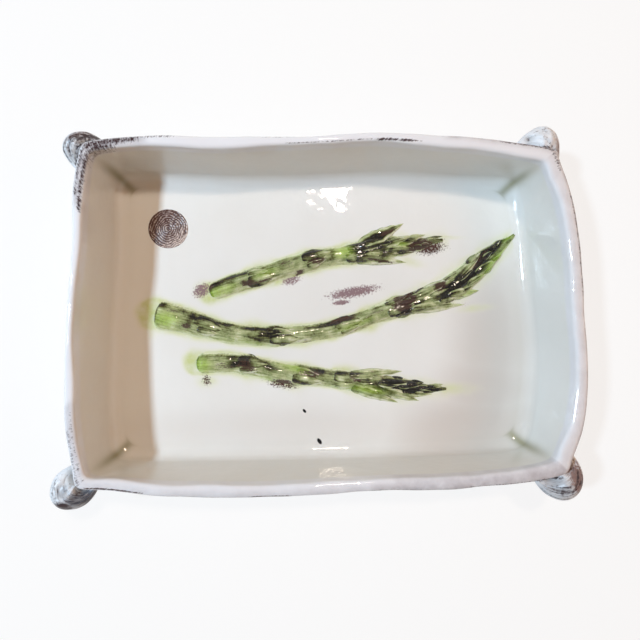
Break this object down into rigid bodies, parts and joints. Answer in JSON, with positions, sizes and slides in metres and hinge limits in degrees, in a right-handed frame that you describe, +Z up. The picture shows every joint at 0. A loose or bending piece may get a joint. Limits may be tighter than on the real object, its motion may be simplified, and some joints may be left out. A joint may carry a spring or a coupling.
{
  "type": "serving dish",
  "caption": "Rectangular slab-built glazed earthenware dish with upright wavy walls, rolled clay ears on the corners and asparagus spears in relief on the floor.",
  "frame": {"origin": "middle of the flat underside, on the surface that the dish stands on", "axes": "+X along the dish, towards the asparagus tips; +Y across it, away from the front wall; +Z up"},
  "size_m": [0.345, 0.2494, 0.06],
  "materials": {
    "white_tin_glaze": "gloss",
    "stained_ear_glaze": "gloss",
    "green_spear_glaze": "gloss"
  },
  "bodies": {
    "root": {"floor_slab": "white_tin_glaze", "back_wall": "white_tin_glaze", "right_wall": "white_tin_glaze", "front_wall": "white_tin_glaze", "left_wall": "white_tin_glaze", "back_seam_coil": "white_tin_glaze", "right_seam_coil": "white_tin_glaze", "front_seam_coil": "white_tin_glaze", "left_seam_coil": "white_tin_glaze", "back_left_ear": "stained_ear_glaze", "back_right_ear": "stained_ear_glaze", "front_right_ear": "stained_ear_glaze", "front_left_ear": "stained_ear_glaze", "upper_spear_stem": "green_spear_glaze", "upper_spear_bracts": "green_spear_glaze", "upper_spear_bud": "green_spear_glaze", "middle_spear_stem": "green_spear_glaze", "middle_spear_bracts": "green_spear_glaze", "middle_spear_bud": "green_spear_glaze", "lower_spear_stem": "green_spear_glaze", "lower_spear_bracts": "green_spear_glaze", "lower_spear_bud": "green_spear_glaze"}
  },
  "joints": []
}
